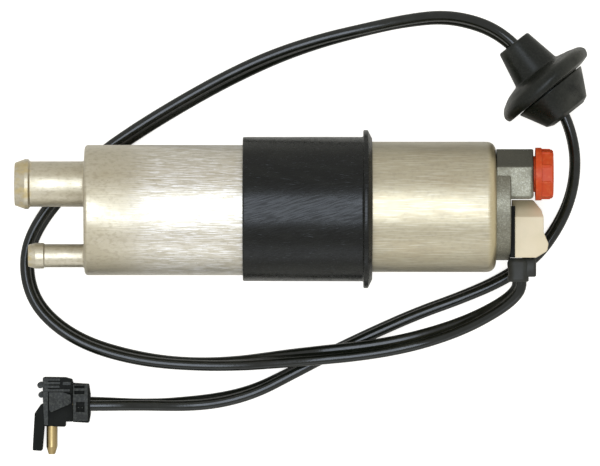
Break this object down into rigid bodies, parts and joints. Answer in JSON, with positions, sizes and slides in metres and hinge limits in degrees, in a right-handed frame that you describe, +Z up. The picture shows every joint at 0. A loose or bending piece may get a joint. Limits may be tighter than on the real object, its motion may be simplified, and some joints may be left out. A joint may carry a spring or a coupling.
{
  "type": "electric fuel pump",
  "caption": "Inline electric fuel pump: aluminium casings in a rubber mounting sleeve, hose nipples, plugged outlet and a twin lead with grommet and plug.",
  "frame": {"origin": "centre of the rubber mounting sleeve, on its axis, halfway along its plain part", "axes": "+X along the pump from the hose nipples to the outlet, +Y across it towards the side of the large nipple and the grommet, +Z up from the surface that the pump lies on"},
  "size_m": [0.19, 0.1472, 0.0522],
  "materials": {
    "drawn_aluminium": "satin",
    "casing_aluminium": "satin",
    "die_cast_aluminium": "matte",
    "black_rubber": "matte",
    "seal_rubber": "matte",
    "lead_jacket": "satin",
    "red_plastic": "satin",
    "cream_plastic": "satin",
    "black_plastic": "matte",
    "brown_plastic": "matte",
    "brass": "satin",
    "copper": "satin",
    "bronze": "matte",
    "steel": "satin",
    "lamination_steel": "matte",
    "sintered_steel": "matte",
    "zinc_plated_steel": "satin",
    "ferrite": "matte",
    "carbon": "matte",
    "filter_fabric": "matte"
  },
  "bodies": {
    "pump": {"inlet_housing": "drawn_aluminium", "housing_o_ring": "seal_rubber", "strainer_frame": "brown_plastic", "strainer_mesh": "filter_fabric", "pump_inlet_plate": "die_cast_aluminium", "relief_spring": "steel", "relief_plug": "brass", "front_bearing": "bronze", "pump_ring": "sintered_steel", "pump_outlet_plate": "sintered_steel", "pump_screws": "zinc_plated_steel", "casing_o_ring": "seal_rubber", "motor_casing": "casing_aluminium", "flux_ring": "steel", "magnet_upper": "ferrite", "magnet_lower": "ferrite", "magnet_clips": "steel", "brush_plate": "brown_plastic", "brush_spring_front": "steel", "brush_spring_back": "steel", "rear_bearing": "bronze", "outlet_cover": "die_cast_aluminium", "cover_o_ring": "seal_rubber", "check_spring": "steel", "check_retainer": "brass", "terminal_posts": "zinc_plated_steel", "terminal_bushes": "black_plastic", "connector_backing": "black_plastic", "connector_housing": "cream_plastic", "lead_terminals": "brass", "connector_boot": "black_rubber", "mounting_sleeve": "black_rubber", "lead_to_pump": "lead_jacket", "lead_to_plug": "lead_jacket", "grommet": "black_rubber", "plug_body": "black_plastic", "plug_cover": "black_plastic", "plug_pins": "brass"},
    "armature": {"armature_shaft": "steel", "armature_core": "lamination_steel", "armature_winding": "copper", "commutator_hub": "black_plastic", "commutator_bars": "copper", "inner_rotor": "sintered_steel"},
    "outer_rotor": {"outer_rotor": "sintered_steel"},
    "check_valve": {"check_ball": "steel"},
    "relief_valve": {"relief_ball": "steel"},
    "brush_front": {"brush_front": "carbon"},
    "brush_back": {"brush_back": "carbon"},
    "outlet_plug": {"outlet_plug": "red_plastic", "port_o_ring": "seal_rubber"}
  },
  "joints": [
    {"name": "armature_spin", "type": "hinge", "parent": "pump", "child": "armature", "pos_m": [0.036, 0.00073, 0], "axis": [1, 0, 0], "continuous": true},
    {"name": "outer_rotor_spin", "type": "hinge", "parent": "pump", "child": "outer_rotor", "pos_m": [0.01, 0.00163, 0], "axis": [1, 0, 0], "continuous": true},
    {"name": "check_valve_lift", "type": "slide", "parent": "pump", "child": "check_valve", "axis": [1, 0, 0], "range_m": [0, 0.0012], "stiffness_N_per_m": 200, "springref_m": -0.001, "deforming": ["check_spring"]},
    {"name": "relief_valve_lift", "type": "slide", "parent": "pump", "child": "relief_valve", "axis": [-1, 0, 0], "range_m": [0, 0.0012], "stiffness_N_per_m": 200, "springref_m": -0.002, "deforming": ["relief_spring"]},
    {"name": "brush_front_slide", "type": "slide", "parent": "pump", "child": "brush_front", "axis": [0, 0, 1], "range_m": [0, 0.0015], "stiffness_N_per_m": 300, "springref_m": -0.002, "deforming": ["brush_spring_front"]},
    {"name": "brush_back_slide", "type": "slide", "parent": "pump", "child": "brush_back", "axis": [0, 0, -1], "range_m": [0, 0.0015], "stiffness_N_per_m": 300, "springref_m": -0.002, "deforming": ["brush_spring_back"]},
    {"name": "outlet_plug_pull", "type": "slide", "parent": "pump", "child": "outlet_plug", "axis": [1, 0, 0], "range_m": [0, 0.018]}
  ],
  "couplings": [
    {"joint": "outer_rotor_spin", "follows": "armature_spin", "ratio": 0.85714}
  ]
}
